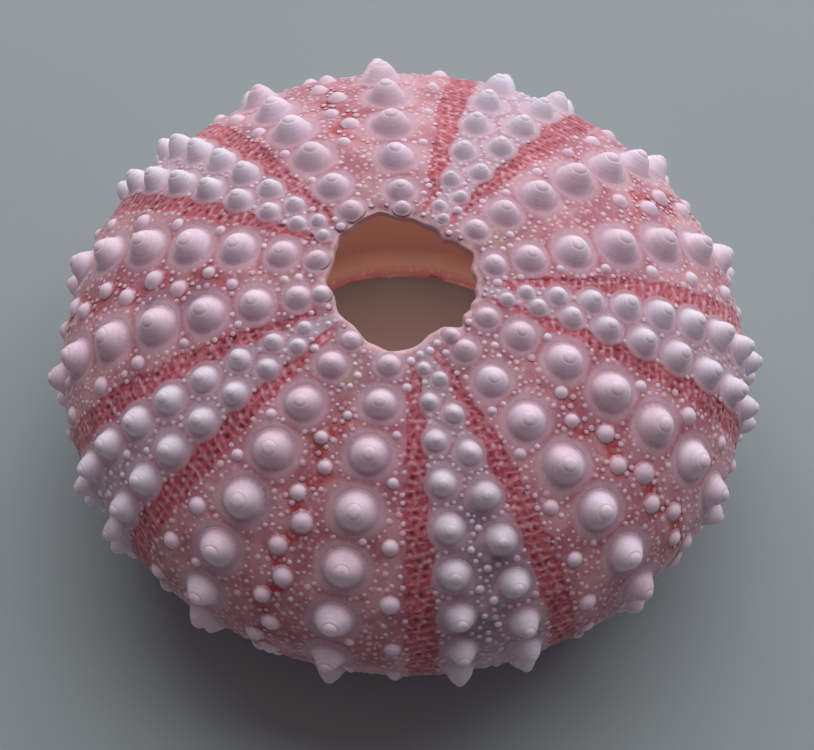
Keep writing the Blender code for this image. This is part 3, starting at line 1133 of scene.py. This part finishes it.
def make_shell_material():
    """The pink and lilac chalk of the shell, coloured by the masks on its pieces."""
    graph = Graph("shell_chalk")
    patch, fine, grain = (graph.noise(*noise) for noise in (PATCH_NOISE, FINE_NOISE, GRAIN_NOISE))
    colour = shell_ground(graph, patch, fine)
    colour = graph.coat(colour, graph.specks() * (1 - graph.mask("areole")), *SPECK_COAT)
    white = graph.mix(graph.mask("narrow"), shade(*WIDE_WHITE), shade(*NARROW_WHITE))
    white = graph.mix(graph.mask("blush"), white, shade(*BLUSH))
    colour = graph.mix(graph.mask("white"), colour, white)
    colour = graph.coat(colour, graph.mask("knob"), *KNOB_COAT)
    growth = (graph.mask("turned") * GROWTH_PACE).math("SINE")
    colour = graph.coat(colour, growth.step(*GROWTH_FADE) * fine.step(*GROWTH_BREAKS), *GROWTH_COAT)
    colour = graph.coat(colour, fine.step(*DUSK_FADE), *DUSK_COAT)
    colour = graph.coat(colour, grain.step(*GLINT_FADE), *GLINT_COAT)
    # Grey stains and painted shade on the lower front, broken by noise
    colour = graph.coat(colour, graph.mask("grey_stain_and_shade") * fine.step(*GREY_STAIN_AND_SHADE_BREAKS), *GREY_STAIN_AND_SHADE_COAT)
    colour = graph.coat(colour, graph.mask("rim"), *RIM_COAT)
    colour = graph.mix(graph.mask("inside"), colour, shade(*INSIDE_CREAM))
    # Pores painted dark for the shade inside holes through the wall
    colour = graph.mix(graph.mask("pore"), colour, shade(*PORE_SHADE))
    fine_share, grain_share, growth_share = BUMP_SHARES
    height = fine * fine_share + grain * grain_share + growth * growth_share
    inputs = {"Strength": BUMP_STRENGTH, "Distance": BUMP_HEIGHT, "Height": height}
    return graph.finish({
        "Base Color": colour,
        "Roughness": fine * ROUGHNESS_SWING + ROUGHNESS,
        "Normal": graph.node("ShaderNodeBump", {}, inputs, "Normal"),
        "Specular IOR Level": SPECULAR,
        "Sheen Weight": SHEEN,
        "Sheen Roughness": SHEEN_ROUGHNESS,
    })


def make_floor_material(colour):
    """The plain, pale floor."""
    graph = Graph("pale_floor")
    darker = tuple(value * FLOOR_DARKENING for value in colour[:3]) + (1.0,)
    mottled = graph.mix(graph.noise(*FLOOR_NOISE), colour, darker)
    return graph.finish({"Base Color": mottled, "Roughness": FLOOR_ROUGHNESS})


def layout():
    """The layout, made once."""
    if "layout" not in SHARED:
        SHARED["layout"] = Layout()
    return SHARED["layout"]


def shell_material():
    """The material of the shell, made once."""
    if "material" not in SHARED:
        SHARED["material"] = make_shell_material()
    return SHARED["material"]


class ShellSettings(bpy.types.PropertyGroup):
    """The wall's thickness and how fine the meshes are."""

    wall: bpy.props.FloatProperty(
        name="Wall", description="Thickness of the wall", default=1.5 * MM, unit="LENGTH", precision=4,
    )
    columns_narrow: bpy.props.IntProperty(
        name="Narrow columns", description="Mesh columns in half a narrow area", default=11,
    )
    columns_band: bpy.props.IntProperty(
        name="Band columns", description="Mesh columns across a pore band", default=8,
    )
    columns_wide: bpy.props.IntProperty(
        name="Wide columns", description="Mesh columns in half a wide area", default=29,
    )
    rows_upper: bpy.props.IntProperty(
        name="Upper rows", description="Mesh rows of the upper outside", default=140,
    )
    rows_lower: bpy.props.IntProperty(
        name="Lower rows", description="Mesh rows of the underside", default=36,
    )
    rows_inner: bpy.props.IntProperty(
        name="Inner rows", description="Mesh rows of the inside", default=18,
    )
    band_across: bpy.props.IntProperty(
        name="Band points", description="Mesh points across a strip", default=28,
    )
    band_step: bpy.props.FloatProperty(
        name="Band step", description="Length of a mesh row of a strip", default=0.135 * MM,
        unit="LENGTH", precision=6,
    )


class StageSettings(bpy.types.PropertyGroup):
    """The floor and the camera."""

    floor_colour: bpy.props.FloatVectorProperty(
        name="Floor", description="Colour of the floor", subtype="COLOR", size=4,
        default=shade(*FLOOR_GREY), min=0.0, max=1.0,
    )
    lens: bpy.props.FloatProperty(
        name="Lens", description="Focal length in millimetres", default=LENS,
    )


class SHELL_OT_wall(bpy.types.Operator):
    """Build the wall with its relief"""

    bl_idname = "urchin.wall"
    bl_label = "Wall"

    def execute(self, context):
        settings = context.scene.urchin_shell
        points, masks = self.shape(settings)
        piece, column, row = self.turned_ring(*points.shape[:2])
        piece.data.vertices.foreach_set("co", points[column, row].astype(np.float32).ravel())
        piece.data.update()
        paint(piece, {name: values[column, row] for name, values in masks.items()})
        finish_piece(piece)
        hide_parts(NODE)
        return {"FINISHED"}

    def turned_ring(self, columns, rows):
        """A closed ring, spun from a circle. Gives the column and row of each point too."""
        bpy.ops.object.select_all(action="DESELECT")
        bpy.ops.mesh.primitive_circle_add(
            vertices=rows, radius=CIRCLE_RADIUS, location=(CIRCLE_MIDDLE, 0, 0),
            rotation=(math.pi / 2, 0, 0),
        )
        piece = bpy.context.object
        piece.name = piece.data.name = "wall"
        bpy.ops.object.transform_apply(location=True, rotation=True, scale=True)
        bpy.ops.object.modifier_add(type="SCREW")
        turn = piece.modifiers[-1]
        turn.steps = turn.render_steps = columns
        turn.use_merge_vertices = True
        turn.merge_threshold = MERGE_DISTANCE
        bpy.ops.object.modifier_apply(modifier=turn.name)
        bpy.ops.object.mode_set(mode="EDIT")
        bpy.ops.mesh.select_all(action="SELECT")
        bpy.ops.mesh.normals_make_consistent(inside=False)
        bpy.ops.object.mode_set(mode="OBJECT")
        count = len(piece.data.vertices)
        if count != columns * rows:
            raise RuntimeError(f"the ring has {count} points and not {columns * rows}")
        x, y, z = np.array([vertex.co for vertex in piece.data.vertices]).T
        column = np.arctan2(y, x) / (2 * math.pi) * columns
        row = np.arctan2(z, CIRCLE_MIDDLE - np.hypot(x, y)) / (2 * math.pi) * rows
        return piece, np.rint(column).astype(int) % columns, np.rint(row).astype(int) % rows

    def column_turns(self, settings, arc):
        """Angle of each mesh column at each arc: the columns follow the edges of the pore bands."""
        narrow, band, wide = settings.columns_narrow, settings.columns_band, settings.columns_wide
        inner, outer = band_edges(arc)
        middles = sorted(
            [((area[0] + AREA_TURN) % 360 - AREA_TURN, True, area[1]) for area in NARROW_AREAS]
            + [(area[0], False, 1.0) for area in WIDE_AREAS]
        )
        turns = []
        for index, (start, is_narrow, width) in enumerate(middles):
            end, _, next_width = middles[(index + 1) % len(middles)]
            span = (end - start) % 360
            own = width if is_narrow else next_width
            per = narrow + band + wide
            for step in range(per):
                place = step if is_narrow else per - step
                if place <= narrow:
                    offset = inner * own * place / narrow
                elif place <= narrow + band:
                    offset = own * (inner + (outer - inner) * (place - narrow) / band)
                else:
                    offset = outer * own + (span - outer * own) * (place - narrow - band) / wide
                turns.append(start + (offset if is_narrow else span - offset))
        return np.stack(turns)

    def shape(self, settings):
        """Where the mesh points go, by column and row, and their masks."""
        turns, arc = self.outer_grid(settings)
        height, masks = relief(layout(), turns.ravel(), arc.ravel())
        drop, reach = RIM_ROUNDING
        height = height.reshape(arc.shape) - drop * (1 - smooth(0, reach, arc - arc[:, -1:]))
        normal = wall_normals(turns, arc)
        outside = wall_points(turns, arc) + normal * height[..., None]
        inside = self.inner_points(settings, arc[:, -1:])
        rim = self.bridge(outside[:, -1], inside[:, 0], normal[:, -1], RIM_ROWS, RIM_BULGE)
        lip = self.bridge(inside[:, -1], outside[:, 0], normal[:, 0], LIP_ROWS, LIP_BULGE)
        points = np.concatenate([outside, rim, inside, lip], 1)
        columns, outer_rows = arc.shape
        # Past the outside's rows a mask is 0, but for so many rows of these two
        covered = {"crown": points.shape[1], "rim": RIM_ROWS}
        full = {}
        for name, values in masks.items():
            rest = np.zeros((columns, points.shape[1] - outer_rows))
            rest[:, :covered.get(name, 0)] = 1.0
            full[name] = np.concatenate([values.reshape(arc.shape), rest], 1)
        within = np.concatenate([
            np.zeros(outer_rows), np.linspace(*RIM_INSIDE, RIM_ROWS), np.ones(settings.rows_inner),
            np.linspace(*LIP_INSIDE, LIP_ROWS),
        ])
        full["inside"] = np.repeat(within[None], columns, 0)
        return points, full

    def outer_grid(self, settings):
        """Angle and arc of the outside's mesh points, from the mouth up to the hole."""
        upper = np.linspace(TOP_ARC, TURN_ARC, settings.rows_upper, endpoint=False)
        lower = np.linspace(TURN_ARC, MOUTH_ARC, settings.rows_lower)
        rows = np.concatenate([upper, lower])[::-1]
        turns = self.column_turns(settings, rows)
        top_points = wall_points(turns[:, -1], np.full(len(turns), TOP_ARC))
        edge = hole_arcs(turns) + swell(top_points, JAG_WAVES)[:, None]
        return turns, follow_hole(np.repeat(rows[None], len(turns), 0), edge)

    def inner_points(self, settings, hole):
        """The inside's mesh points, from the hole down to the mouth."""
        share = np.linspace(0, 1, settings.rows_inner)
        arc = hole * (1 - share) + MOUTH_ARC * share
        turns = self.column_turns(settings, arc[0])
        points = wall_points(turns, arc)
        thinning = RIM_THICKNESS + (1 - RIM_THICKNESS) * smooth(0, RIM_THINNING, share)
        uneven = swell(points.reshape(-1, 3), INSIDE_WAVES).reshape(arc.shape)
        return points - wall_normals(turns, arc) * (settings.wall * thinning + uneven)[..., None]

    def bridge(self, start, end, normal, count, bulge):
        """Rows that round the edge between two surfaces."""
        away = np.cross(normal, np.roll(start, -1, 0) - np.roll(start, 1, 0))
        away /= np.linalg.norm(away, axis=-1, keepdims=True)
        made = []
        for index in range(count):
            share = (index + 1) / (count + 1)
            made.append(start * (1 - share) + end * share + away * bulge * math.sin(math.pi * share))
        return np.stack(made, 1)


class SHELL_OT_tubercles(bpy.types.Operator):
    """Build the large tubercles of the ten areas"""

    bl_idname = "urchin.tubercles"
    bl_label = "Tubercles"

    def execute(self, context):
        draw = np.random.default_rng(TUBERCLE_SEED)
        bosses = layout().bosses
        shown = bosses[:, 1] < SHOWN_ARC
        self.build("tubercles", bosses[shown], SHOWN_SIDES, DOME_FORM, BELL_FORM, draw)
        self.build("lower_tubercles", bosses[~shown], LOWER_SIDES, DOME_FORM[::2], BELL_FORM[::2], draw)
        return {"FINISHED"}

    def build(self, name, places, sides, dome_form, bell_form, draw):
        """One piece of tubercles, each of its own blend, lean, width and height."""
        count = len(places)
        narrow = places[:, 3]
        dome, faces = turned_unit(dome_form, sides)
        bell, _ = turned_unit(bell_form, sides)
        share = smooth(*BELL_ARCS, places[:, 1]) * draw.uniform(*BELL_SHARES, count)
        share = (share * (1 - NARROW_BELLS * narrow))[:, None, None]
        own = dome[None] * (1 - share) + bell[None] * share
        own[..., :2] += draw.normal(0, LEAN, (count, 1, 2)) * np.clip(own[..., 2:3], 0, 1)
        wide = 1 + draw.normal(0, OVALNESS, (count, 1))
        own[..., 0] *= wide
        own[..., 1] /= wide
        stretch = draw.uniform(*STRETCHES, count) * (1 + NARROW_STRETCH * narrow)
        piece = stamp(name, own, faces, places, stretch, draw.uniform(0, 2 * math.pi, count))
        out = np.hypot(own[..., 0], own[..., 1])
        # The grey stains and painted shade of the wall, carried onto the tubercles
        stain_and_shade = stain_share(wall_points(places[:, 0], places[:, 1]), GREY_STAIN_AND_SHADE_MARKS)
        narrow = narrow[:, None]
        paint_copies(piece, out.shape, {
            "white": 1 - smooth(*WHITE_EDGE, out),
            "areole": 1.0,
            # Rose ring at the foot, partly pigment and partly painted shade
            "foot_tint_and_shade": hump(out, *TUBERCLE_FOOT_TINT_AND_SHADE) * (1 - NARROW_FOOT_TINT_AND_SHADE_CUT * narrow),
            "knob": 1 - smooth(*KNOB_EDGE, out),
            "turned": out,
            "narrow": narrow,
            "blush": draw.uniform(*BLUSHES, (count, 1)) * (1 - NARROW_BLUSH * narrow),
            "crown": crown_share(places[:, 1:2]),
            "grey_stain_and_shade": TUBERCLE_STAIN_AND_SHADE * stain_and_shade[:, None],
        })
        finish_piece(piece)


class SHELL_OT_small_tubercles(bpy.types.Operator):
    """Build the smaller tubercles and the granules between the large ones"""

    bl_idname = "urchin.small_tubercles"
    bl_label = "Small tubercles and granules"

    def execute(self, context):
        draw = np.random.default_rng(SMALL_SEED)
        for name, places, form, sides, whiteness, pinkness in (
            ("small_tubercles", layout().small, SMALL_FORM, SMALL_SIDES, SMALL_WHITENESS, SMALL_PINKNESS),
            ("granules", layout().grains, GRAIN_FORM, GRAIN_SIDES, GRAIN_WHITENESS, GRAIN_PINKNESS),
        ):
            count = len(places)
            points, faces = turned_unit(form, sides)
            own = np.repeat(points[None], count, 0)
            stretch = draw.uniform(*SMALL_STRETCHES, count)
            piece = stamp(name, own, faces, places, stretch, draw.uniform(0, 2 * math.pi, count))
            paint_copies(piece, own.shape[:2], {
                "white": smooth(*SMALL_WHITE_EDGE, own[..., 2]) * draw.uniform(*whiteness, (count, 1)),
                "narrow": narrow_share(places[:, 0:1], places[:, 1:2]),
                "blush": draw.uniform(*pinkness, (count, 1)),
                "crown": crown_share(places[:, 1:2]),
            })
            finish_piece(piece)
        return {"FINISHED"}


class SHELL_OT_bands(bpy.types.Operator):
    """Build the ten pore bands with their ridges and pairs of pores"""

    bl_idname = "urchin.bands"
    bl_label = "Pore bands"

    def execute(self, context):
        settings = context.scene.urchin_shell
        rows = np.concatenate([
            np.arange(TOP_ARC, STRIP_TURN, settings.band_step),
            np.arange(STRIP_TURN, MOUTH_ARC - STRIP_END, LOWER_STRIP_STEP),
        ])
        blocks, masks = [], {}
        for area in range(len(NARROW_AREAS)):
            for side in (-1, 1):
                block, own_masks = self.strip(rows, settings.band_across, area, side)
                blocks.append(block)
                for name, values in own_masks.items():
                    masks.setdefault(name, []).append(values.ravel())
        piece = self.join(blocks)
        paint(piece, {name: np.concatenate(values) for name, values in masks.items()})
        finish_piece(piece)
        return {"FINISHED"}

    def strip(self, rows, across, area, side):
        """Loops of points round one strip, its top and its under side, and their masks."""
        middle, width = NARROW_AREAS[area][:2]
        inner, outer = band_edges(rows)
        pad = STRIP_PAD / degree_lengths(middle + side * STRIP_MIDDLE, rows)
        low, high = inner * width - pad, outer * width + pad
        share = np.linspace(0, 1, across)[:, None]
        turns = middle + side * (low + (high - low) * share)
        arcs = follow_hole(np.repeat(rows[None], across, 0), hole_arcs(turns) + STRIP_START)
        height, masks = self.comb(area, side, turns.ravel(), arcs.ravel())
        points, normal = wall_points(turns, arcs), wall_normals(turns, arcs)
        top = points + normal * height.reshape(turns.shape)[..., None]
        under = (points - normal * STRIP_THICKNESS)[[-1, 0]]
        looped = {}
        for name, values in masks.items():
            values = values.reshape(turns.shape)
            looped[name] = np.concatenate([values, values[[-1, 0]]], 0)[::side]
        return np.concatenate([top, under], 0)[::side], looped

    def comb(self, area, side, angle, arc):
        """Height and masks of a band: grooves between the two pores of each pair, ridges between pairs."""
        plan = layout()
        points = wall_points(angle, arc)
        along, sideways, which, pairs = self.nearest_pair(points, area, side, angle, arc)
        draw = np.random.default_rng(COMB_SEED + 2 * area + (side > 0))
        size, gap, pit = (
            draw.uniform(*limits, pairs)[which] for limits in (PORE_SIZES, PORE_GAPS, PORE_STRENGTHS)
        )
        pore = np.hypot(along, np.abs(sideways) - gap)
        whole = patches(points, *RIDGE_PATCHES)
        ridge = smooth(*RIDGE_EDGE, np.abs(along)) * whole
        divide = hump(sideways, DIVIDE_WIDTH) * (1 - ridge) * whole
        inside, ragged = band_depth(points, angle, arc)
        first, _, boss = nearest(points, plan.boss_points, plan.bosses[:, 2])
        inward = arc - hole_arcs(angle)
        cover = band_cover(ragged - RIDGE_PUSH * ridge, inward, first, plan.bosses[boss, 3])
        carved = COMB_LEVEL + RIDGE_RISE * ridge + DIVIDE_RISE * divide + swell(points, COMB_WAVES)
        carved -= PORE_DEPTH * pit * hump(pore, size)
        height = swell(points, WALL_WAVES) + carved * cover
        height += PAD_LEVEL + PAD_RISE * smooth(*PAD_EDGE, inside)
        height -= DIVE * (1 - smooth(*PAD_DIVE, inside) * smooth(*HOLE_DIVE, inward))
        height -= DIVE * smooth(*MOUTH_DIVE, arc - MOUTH_ARC)
        _, masks = relief(plan, angle, arc)
        least, swing = PORE_SHADE_STRENGTHS
        masks["band"] = cover
        masks["ridge"] = np.maximum(ridge, DIVIDE_TINT * divide) * cover
        masks["tone"] = patches(points, *TONE_PATCHES) * cover
        # Painted shade in each pore, darker in deeper pits
        masks["pore"] = hump(pore, size + PORE_MARGIN) * cover * (least + swing * pit)
        return height, masks

    def nearest_pair(self, points, area, side, angle, arc):
        """The way from the nearest pair of pores along and across the band, its number, and how many."""
        pairs = layout().pairs
        pairs = pairs[(pairs[:, 0] == area) & (pairs[:, 1] == side)]
        length = degree_lengths(pairs[:, 2], pairs[:, 3])
        sideways = (angle[:, None] - pairs[None, :, 2]) * side * length
        sideways += swell(points, SIDEWAYS_WAVES)[:, None]
        along = arc[:, None] - pairs[None, :, 3] - PAIR_SLANT * sideways
        along += swell(points, ALONG_WAVES)[:, None]
        which = np.argmin(np.abs(along) + SIDE_PULL * np.abs(sideways), 1)
        every = np.arange(len(which))
        return along[every, which], sideways[every, which], which, len(pairs)

    def join(self, blocks):
        """One closed mesh from loops of points round each band, with flat ends."""
        corners, sizes, shift = [], [], 0
        for block in blocks:
            around, rows = block.shape[:2]
            index = np.arange(around * rows).reshape(around, rows) + shift
            beside = np.roll(index, -1, 0)
            quads = np.stack([index[:, :-1], index[:, 1:], beside[:, 1:], beside[:, :-1]], -1)
            corners += [quads.ravel(), index[:, 0], index[::-1, -1]]
            sizes += [4] * (around * (rows - 1)) + [around, around]
            shift += around * rows
        points = np.concatenate([block.reshape(-1, 3) for block in blocks])
        return new_mesh_object("pore_bands", points, np.concatenate(corners), np.array(sizes))


class SHELL_OT_stage(bpy.types.Operator):
    """Lay the floor and set the light and the camera"""

    bl_idname = "urchin.stage"
    bl_label = "Stage"

    def execute(self, context):
        settings = context.scene.urchin_stage
        self.add_floor(tuple(settings.floor_colour))
        self.add_sky()
        self.add_glow()
        world = bpy.data.worlds.new("studio")
        world.use_nodes = True
        background = world.node_tree.nodes["Background"]
        background.inputs["Color"].default_value = shade(*AIR_PINK)
        background.inputs["Strength"].default_value = AIR_STRENGTH
        context.scene.world = world
        context.scene.view_settings.view_transform = "Standard"
        context.scene.camera = self.add_camera(settings.lens)
        return {"FINISHED"}

    def add(self, name, data, place):
        """An object at a place of the stage."""
        made = bpy.data.objects.new(name, data)
        made.location = place
        bpy.context.scene.collection.objects.link(made)
        return made

    def add_floor(self, colour):
        """The floor that the shell rests on."""
        bpy.ops.object.select_all(action="DESELECT")
        bpy.ops.mesh.primitive_plane_add(size=FLOOR_SIZE, location=(0, 0, 0))
        floor = bpy.context.object
        floor.name = floor.data.name = "floor"
        floor.data.materials.append(make_floor_material(colour))

    def add_sky(self):
        """The square soft light that faces the shell."""
        lamp = bpy.data.lights.new("soft_sky", "AREA")
        lamp.shape = "SQUARE"
        lamp.size = SKY_SIZE
        lamp.energy = SKY_POWER
        lamp.color = SKY_COLOUR
        light = self.add("soft_sky", lamp, SKY_PLACE)
        light.rotation_euler = (Vector(CENTRE) - Vector(SKY_PLACE)).to_track_quat("-Z", "Y").to_euler()

    def add_glow(self):
        """The light inside, in place of what shines through the thin wall."""
        lamp = bpy.data.lights.new("light_through_the_wall", "POINT")
        lamp.energy = GLOW_POWER
        lamp.color = GLOW_COLOUR
        lamp.shadow_soft_size = GLOW_RADIUS
        light = self.add("light_through_the_wall", lamp, (0, 0, GLOW_HEIGHT))
        light.visible_camera = False

    def add_camera(self, lens):
        """The camera at the photo's angle."""
        camera = bpy.data.cameras.new("camera")
        camera.sensor_width = SENSOR
        camera.lens = lens
        camera.clip_start, camera.clip_end = CLIPPING
        view = self.add("camera", camera, Vector(CENTRE) + Vector(CAMERA_PLACE) * MM)
        view.rotation_euler = (math.radians(CAMERA_TILT), 0, math.radians(CAMERA_TURN))
        return view


class SHELL_PT_panel(bpy.types.Panel):
    """The steps that build the shell"""

    bl_label = "Urchin shell"
    bl_space_type = "VIEW_3D"
    bl_region_type = "UI"
    bl_category = "Urchin"

    def draw(self, context):
        for name in ("wall", "tubercles", "small_tubercles", "bands", "stage"):
            self.layout.operator("urchin." + name)


CLASSES = (
    ShellSettings, StageSettings, SHELL_OT_wall, SHELL_OT_tubercles, SHELL_OT_small_tubercles,
    SHELL_OT_bands, SHELL_OT_stage, SHELL_PT_panel,
)


def register():
    """Make the add-on's classes known."""
    for each in CLASSES:
        bpy.utils.register_class(each)
    bpy.types.Scene.urchin_shell = bpy.props.PointerProperty(type=ShellSettings)
    bpy.types.Scene.urchin_stage = bpy.props.PointerProperty(type=StageSettings)


def unregister():
    """Take the classes away again."""
    del bpy.types.Scene.urchin_shell
    del bpy.types.Scene.urchin_stage
    for each in reversed(CLASSES):
        bpy.utils.unregister_class(each)


def main():
    """Build all the pieces."""
    register()
    bpy.ops.urchin.wall()
    bpy.ops.urchin.tubercles()
    bpy.ops.urchin.small_tubercles()
    bpy.ops.urchin.bands()
    bpy.ops.urchin.stage()


if __name__ == "__main__":
    main()
